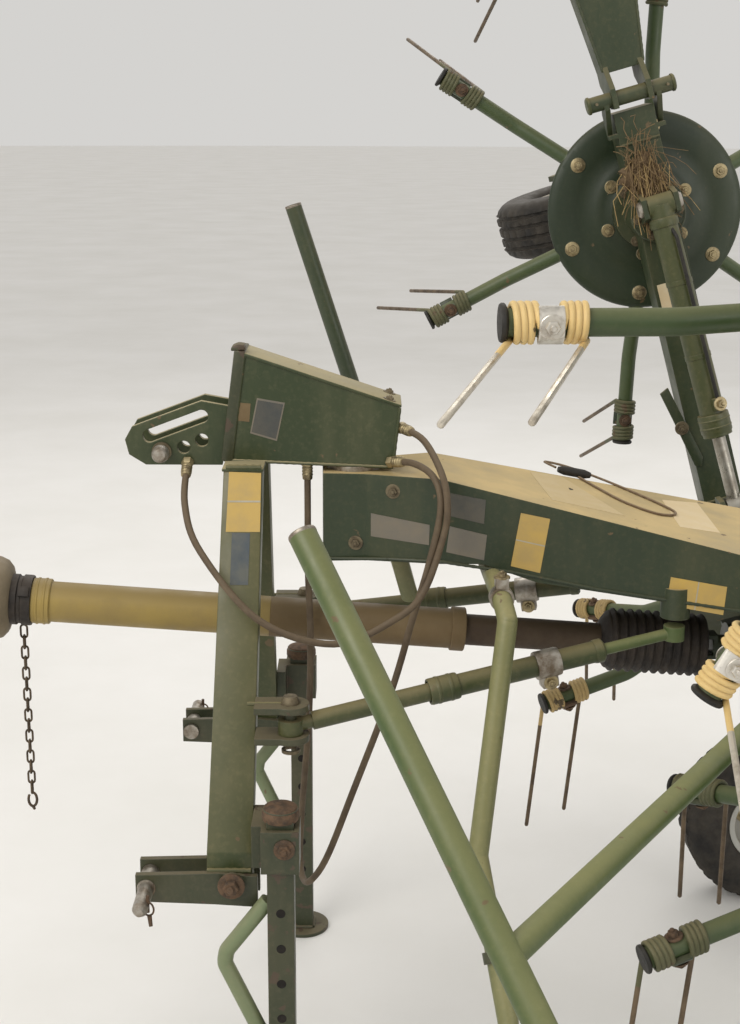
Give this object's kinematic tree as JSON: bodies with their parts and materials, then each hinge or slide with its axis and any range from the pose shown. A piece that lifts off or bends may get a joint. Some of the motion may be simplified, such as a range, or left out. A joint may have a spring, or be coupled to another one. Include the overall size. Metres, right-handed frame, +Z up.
{
  "type": "rotary hay tedder",
  "caption": "Mounted folding rotary tedder: a swinging headstock carries a tilted beam of tine rotors on wheels, with both wings folded up for transport.",
  "frame": {"origin": "centre of the whole machine's footprint box, at ground level", "axes": "-X is the direction of travel, -Y is the machine's left side, +Z is up"},
  "size_m": [2.5974, 3.125, 3.4618],
  "materials": {
    "green_paint": "worn satin paint with hay dust",
    "steel": "worn steel",
    "cylinder_rod": "polished rod",
    "tine_wire": "cream powder coat worn to bright steel at the prongs",
    "tyre_rubber": "dusty rubber",
    "rim_paint": "dusty pale paint",
    "guard_plastic": "dusty yellow plastic",
    "hose_rubber": "black hydraulic hose brown with dust",
    "cord_fibre": "dirty braided pull cord",
    "chain_steel": "rusty chain"
  },
  "bodies": {
    "frame": {"main_beam": "green_paint", "swing_post": "steel", "cross_tube": "green_paint", "centre_gearbox": "green_paint", "inner_gearboxes": "green_paint", "guard_carriers": "green_paint", "guard_left": "green_paint", "guard_right": "green_paint", "beam_cord": "cord_fibre"},
    "headstock": {"swing_box": "green_paint", "tower_legs": "green_paint", "top_link_bracket": "green_paint", "lower_brackets": "green_paint", "hitch_pins": "steel", "hose_front": "hose_rubber", "hose_back": "hose_rubber"},
    "pto": {"pto_shaft": "steel", "pto_guard": "guard_plastic", "pto_chain": "chain_steel"},
    "stand_left": {"stand_left": "green_paint"},
    "wing_left": {"wing_frame_left": "green_paint"},
    "outer_left": {"outer_frame_left": "green_paint"},
    "lift_barrel_left": {"lift_barrel_left": "green_paint"},
    "lift_rod_left": {"lift_rod_left": "cylinder_rod"},
    "damper_barrel_left": {"damper_barrel_left": "green_paint"},
    "damper_rod_left": {"damper_rod_left": "cylinder_rod"},
    "rotor_left_inner": {"rotor_left_inner": "green_paint", "tines_left_inner": "tine_wire"},
    "wheel_left_inner": {"tyre_left_inner": "tyre_rubber", "rim_left_inner": "rim_paint"},
    "rotor_left_middle": {"rotor_left_middle": "green_paint", "tines_left_middle": "tine_wire"},
    "wheel_left_middle": {"tyre_left_middle": "tyre_rubber", "rim_left_middle": "rim_paint"},
    "rotor_left_outer": {"rotor_left_outer": "green_paint", "tines_left_outer": "tine_wire"},
    "wheel_left_outer": {"tyre_left_outer": "tyre_rubber", "rim_left_outer": "rim_paint"},
    "stand_right": {"stand_right": "green_paint"},
    "wing_right": {"wing_frame_right": "green_paint"},
    "outer_right": {"outer_frame_right": "green_paint"},
    "lift_barrel_right": {"lift_barrel_right": "green_paint"},
    "lift_rod_right": {"lift_rod_right": "cylinder_rod"},
    "damper_barrel_right": {"damper_barrel_right": "green_paint"},
    "damper_rod_right": {"damper_rod_right": "cylinder_rod"},
    "rotor_right_inner": {"rotor_right_inner": "green_paint", "tines_right_inner": "tine_wire"},
    "wheel_right_inner": {"tyre_right_inner": "tyre_rubber", "rim_right_inner": "rim_paint"},
    "rotor_right_middle": {"rotor_right_middle": "green_paint", "tines_right_middle": "tine_wire"},
    "wheel_right_middle": {"tyre_right_middle": "tyre_rubber", "rim_right_middle": "rim_paint"},
    "rotor_right_outer": {"rotor_right_outer": "green_paint", "tines_right_outer": "tine_wire"},
    "wheel_right_outer": {"tyre_right_outer": "tyre_rubber", "rim_right_outer": "rim_paint"}
  },
  "joints": [
    {"name": "headstock_swing", "type": "hinge", "parent": "frame", "child": "headstock", "pos_m": [-0.4663, 0.0705, 1.25], "axis": [0, 0, 1], "range_deg": [-9.7, 14.3]},
    {"name": "pto_swing", "type": "hinge", "parent": "frame", "child": "pto", "pos_m": [0.2237, 0.0705, 0.852], "axis": [0, 0, 1], "range_deg": [-2.5, 3.5]},
    {"name": "stand_left_slide", "type": "slide", "parent": "headstock", "child": "stand_left", "axis": [0, 0, 1], "range_m": [0, 0.045]},
    {"name": "wing_left_fold", "type": "hinge", "parent": "frame", "child": "wing_left", "pos_m": [0.51207, -0.7945, 0.83027], "axis": [0.9613, 0, 0.2756], "range_deg": [-4, 90]},
    {"name": "outer_left_fold", "type": "hinge", "parent": "wing_left", "child": "outer_left", "pos_m": [0.19556, -0.78758, 1.93407], "axis": [0.9613, 0, 0.2756], "range_deg": [-10, 6]},
    {"name": "lift_barrel_left_swing", "type": "hinge", "parent": "wing_left", "child": "lift_barrel_left", "pos_m": [0.26627, -0.72855, 1.6875], "axis": [0.9613, 0, 0.2756], "range_deg": [-12, 12]},
    {"name": "lift_rod_left_slide", "type": "slide", "parent": "lift_barrel_left", "child": "lift_rod_left", "axis": [0.2709, 0.1842, -0.9448], "range_m": [-0.02, 0.38]},
    {"name": "damper_barrel_left_swing", "type": "hinge", "parent": "headstock", "child": "damper_barrel_left", "pos_m": [-0.59145, -0.25474, 0.818], "axis": [0, 0, 1], "range_deg": [-30, 30]},
    {"name": "damper_rod_left_slide", "type": "slide", "parent": "damper_barrel_left", "child": "damper_rod_left", "axis": [0.9675, 0.1938, 0.1628], "range_m": [-0.12, 0.12]},
    {"name": "rotor_left_inner_turn", "type": "hinge", "parent": "frame", "child": "rotor_left_inner", "pos_m": [0.5457, -0.5045, 0.713], "axis": [-0.2756, 0, 0.9613], "continuous": true},
    {"name": "wheel_left_inner_turn", "type": "hinge", "parent": "frame", "child": "wheel_left_inner", "pos_m": [0.56653, -0.5045, 0.205], "axis": [0, 1, 0], "continuous": true},
    {"name": "rotor_left_middle_turn", "type": "hinge", "parent": "wing_left", "child": "rotor_left_middle", "pos_m": [0.27795, -0.97619, 1.64677], "axis": [-0.0192, 0.9976, 0.0671], "continuous": true},
    {"name": "wheel_left_middle_turn", "type": "hinge", "parent": "wing_left", "child": "wheel_left_middle", "pos_m": [0.16836, -1.27546, 1.59357], "axis": [0.275, 0.0698, -0.9589], "continuous": true},
    {"name": "rotor_left_outer_turn", "type": "hinge", "parent": "outer_left", "child": "rotor_left_outer", "pos_m": [-0.03826, -1.05641, 2.74952], "axis": [-0.0192, 0.9976, 0.0671], "continuous": true},
    {"name": "wheel_left_outer_turn", "type": "hinge", "parent": "outer_left", "child": "wheel_left_outer", "pos_m": [-0.14785, -1.35568, 2.69633], "axis": [0.275, 0.0698, -0.9589], "continuous": true},
    {"name": "stand_right_slide", "type": "slide", "parent": "headstock", "child": "stand_right", "axis": [0, 0, 1], "range_m": [0, 0.045]},
    {"name": "wing_right_fold", "type": "hinge", "parent": "frame", "child": "wing_right", "pos_m": [0.51207, 0.9355, 0.83027], "axis": [-0.9613, 0, -0.2756], "range_deg": [0, 94]},
    {"name": "outer_right_fold", "type": "hinge", "parent": "wing_right", "child": "outer_right", "pos_m": [0.19647, 0.8485, 1.93092], "axis": [-0.9613, 0, -0.2756], "range_deg": [-10, 6]},
    {"name": "lift_barrel_right_swing", "type": "hinge", "parent": "wing_right", "child": "lift_barrel_right", "pos_m": [0.26813, 0.8075, 1.68099], "axis": [-0.9613, 0, -0.2756], "range_deg": [-12, 12]},
    {"name": "lift_rod_right_slide", "type": "slide", "parent": "lift_barrel_right", "child": "lift_rod_right", "axis": [0.2741, -0.1042, -0.956], "range_m": [-0.02, 0.38]},
    {"name": "damper_barrel_right_swing", "type": "hinge", "parent": "headstock", "child": "damper_barrel_right", "pos_m": [-0.56497, 0.40473, 0.818], "axis": [0, 0, 1], "range_deg": [-30, 30]},
    {"name": "damper_rod_right_slide", "type": "slide", "parent": "damper_barrel_right", "child": "damper_rod_right", "axis": [0.9626, -0.2125, 0.1681], "range_m": [-0.12, 0.12]},
    {"name": "rotor_right_inner_turn", "type": "hinge", "parent": "frame", "child": "rotor_right_inner", "pos_m": [0.5457, 0.6455, 0.713], "axis": [-0.2756, 0, 0.9613], "continuous": true},
    {"name": "wheel_right_inner_turn", "type": "hinge", "parent": "frame", "child": "wheel_right_inner", "pos_m": [0.56653, 0.6455, 0.205], "axis": [0, 1, 0], "continuous": true},
    {"name": "rotor_right_middle_turn", "type": "hinge", "parent": "wing_right", "child": "rotor_right_middle", "pos_m": [0.27502, 1.0575, 1.65696], "axis": [0, -1, 0], "continuous": true},
    {"name": "wheel_right_middle_turn", "type": "hinge", "parent": "wing_right", "child": "wheel_right_middle", "pos_m": [0.15967, 1.3575, 1.62388], "axis": [-0.2756, 0, 0.9613], "continuous": true},
    {"name": "rotor_right_outer_turn", "type": "hinge", "parent": "outer_right", "child": "rotor_right_outer", "pos_m": [-0.04196, 1.0575, 2.76241], "axis": [0, -1, 0], "continuous": true},
    {"name": "wheel_right_outer_turn", "type": "hinge", "parent": "outer_right", "child": "wheel_right_outer", "pos_m": [-0.15731, 1.3575, 2.72933], "axis": [-0.2756, 0, 0.9613], "continuous": true}
  ],
  "couplings": [
    {"joint": "pto_swing", "follows": "headstock_swing", "ratio": 0.2},
    {"joint": "lift_barrel_left_swing", "follows": "wing_left_fold", "ratio": -0.0635},
    {"joint": "lift_rod_left_slide", "follows": "wing_left_fold", "m_per_rad": 0.22354},
    {"joint": "damper_barrel_left_swing", "follows": "headstock_swing", "ratio": -0.74812},
    {"joint": "damper_rod_left_slide", "follows": "headstock_swing", "m_per_rad": -0.29023},
    {"joint": "lift_barrel_right_swing", "follows": "wing_right_fold", "ratio": -0.0536},
    {"joint": "lift_rod_right_slide", "follows": "wing_right_fold", "m_per_rad": 0.22358},
    {"joint": "damper_barrel_right_swing", "follows": "headstock_swing", "ratio": -0.76513},
    {"joint": "damper_rod_right_slide", "follows": "headstock_swing", "m_per_rad": 0.30057},
    {"joint": "rotor_left_middle_turn", "follows": "rotor_left_inner_turn", "ratio": -1},
    {"joint": "rotor_left_outer_turn", "follows": "rotor_left_inner_turn", "ratio": 1},
    {"joint": "rotor_right_inner_turn", "follows": "rotor_left_inner_turn", "ratio": -1},
    {"joint": "rotor_right_middle_turn", "follows": "rotor_left_inner_turn", "ratio": 1},
    {"joint": "rotor_right_outer_turn", "follows": "rotor_left_inner_turn", "ratio": -1}
  ]
}
